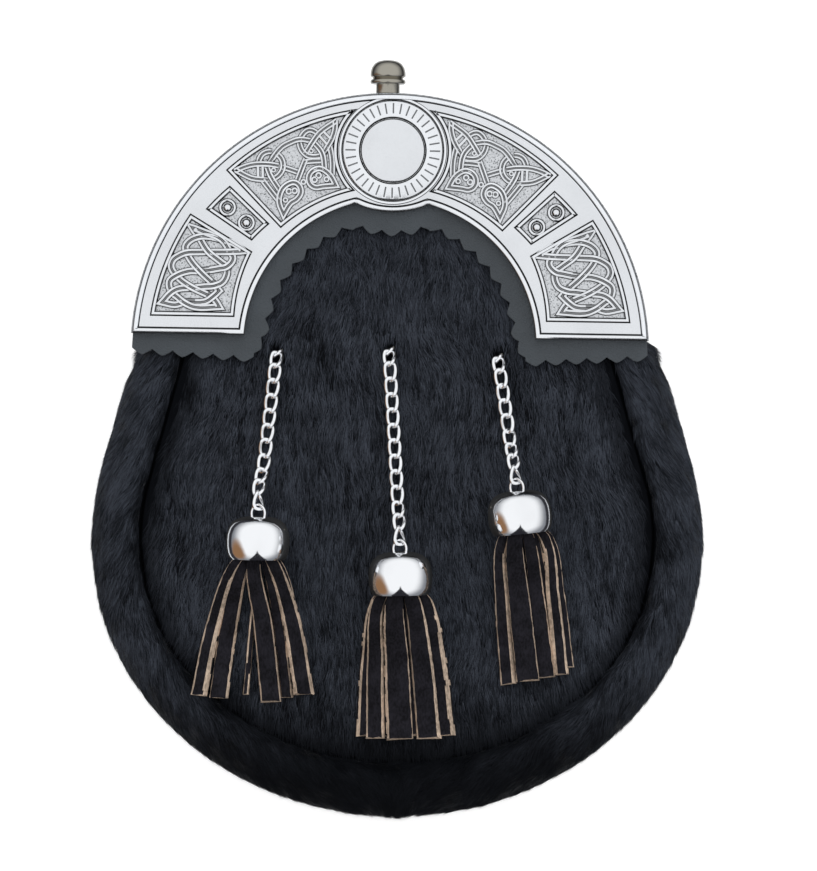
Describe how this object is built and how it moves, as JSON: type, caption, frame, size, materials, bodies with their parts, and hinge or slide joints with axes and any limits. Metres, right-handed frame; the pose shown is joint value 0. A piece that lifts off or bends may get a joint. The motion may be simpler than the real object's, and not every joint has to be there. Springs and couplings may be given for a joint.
{
  "type": "sporran pouch",
  "caption": "Dress sporran: black hide pouch with a roll gusset, cast knotwork cantle with a knob, pinked leather facing, and leather tassels in chrome caps hung on curb chains",
  "frame": {"origin": "On the surface it lies on, under the middle of its bounding box.", "axes": "+Z out of the front of the pouch, +Y towards the knob at its top, +X to the right seen from the front."},
  "size_m": [0.1842, 0.2278, 0.049],
  "materials": {
    "black_hide": "short black hair, slightly glossy along its lie",
    "black_leather": "matt dyed leather",
    "tassel_leather": "matt leather with raw tan edges",
    "chrome": "bright plated casting and wire",
    "nickel": "dull nickel plate"
  },
  "bodies": {
    "root": {"gusset": "black_hide", "front_panel": "black_hide", "back_panel": "black_leather", "back_flap": "black_leather", "flap_stud": "nickel", "belt_loop_left": "black_leather", "belt_loop_right": "black_leather", "cantle": "chrome", "leather_trim": "black_leather", "cantle_knob": "nickel", "chain_left": "chrome", "chain_anchor_left": "nickel", "cap_left": "chrome", "tassel_left": "tassel_leather", "chain_middle": "chrome", "chain_anchor_middle": "nickel", "cap_middle": "chrome", "tassel_middle": "tassel_leather", "chain_right": "chrome", "chain_anchor_right": "nickel", "cap_right": "chrome", "tassel_right": "tassel_leather"}
  },
  "joints": []
}
